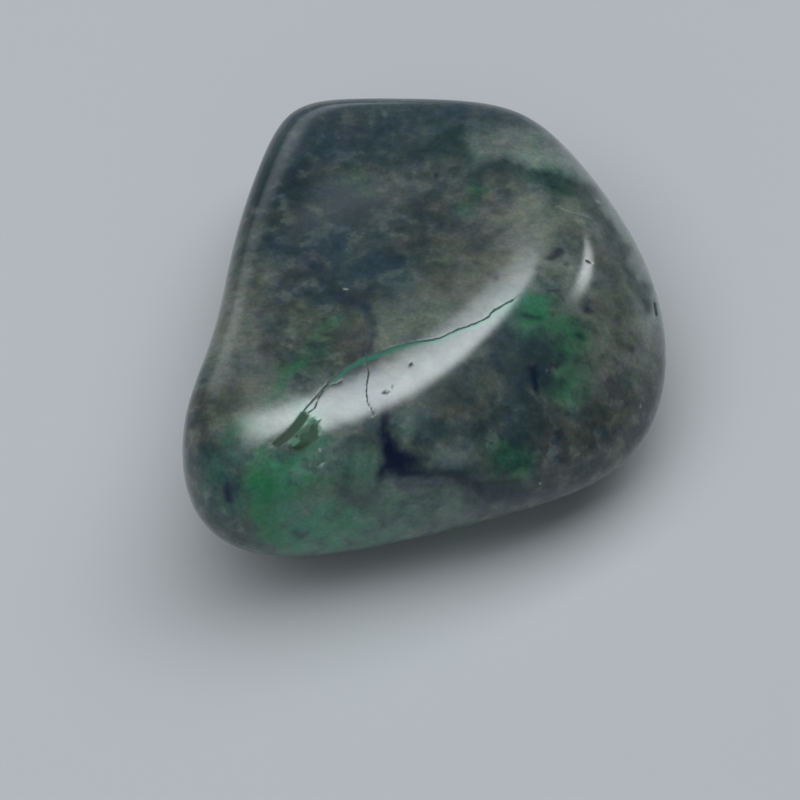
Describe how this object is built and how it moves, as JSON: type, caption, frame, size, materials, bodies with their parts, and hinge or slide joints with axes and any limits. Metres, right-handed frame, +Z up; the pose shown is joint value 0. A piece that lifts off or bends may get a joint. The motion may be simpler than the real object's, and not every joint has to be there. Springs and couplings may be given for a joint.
{
  "type": "tumbled chrysocolla specimen",
  "caption": "Tumbled, polished pebble of chrysocolla in smoky quartz: a rounded trapezoid with a dished top, a curved ridge, a waisted flank and a flat resting face.",
  "frame": {"origin": "middle of the bounding box in plan, on the resting face", "axes": "+Z up from the resting face; +Y from the thick front lobe to the back, along the pebble's long way; +X to the right, seen from the front"},
  "size_m": [0.0266, 0.0314, 0.0107],
  "materials": {
    "polished_stone": "tumble-polished smoky grey-brown quartz, clouded with blue, teal and green copper mineral, glossy"
  },
  "bodies": {
    "root": {"tumbled_stone": "polished_stone"}
  },
  "joints": []
}
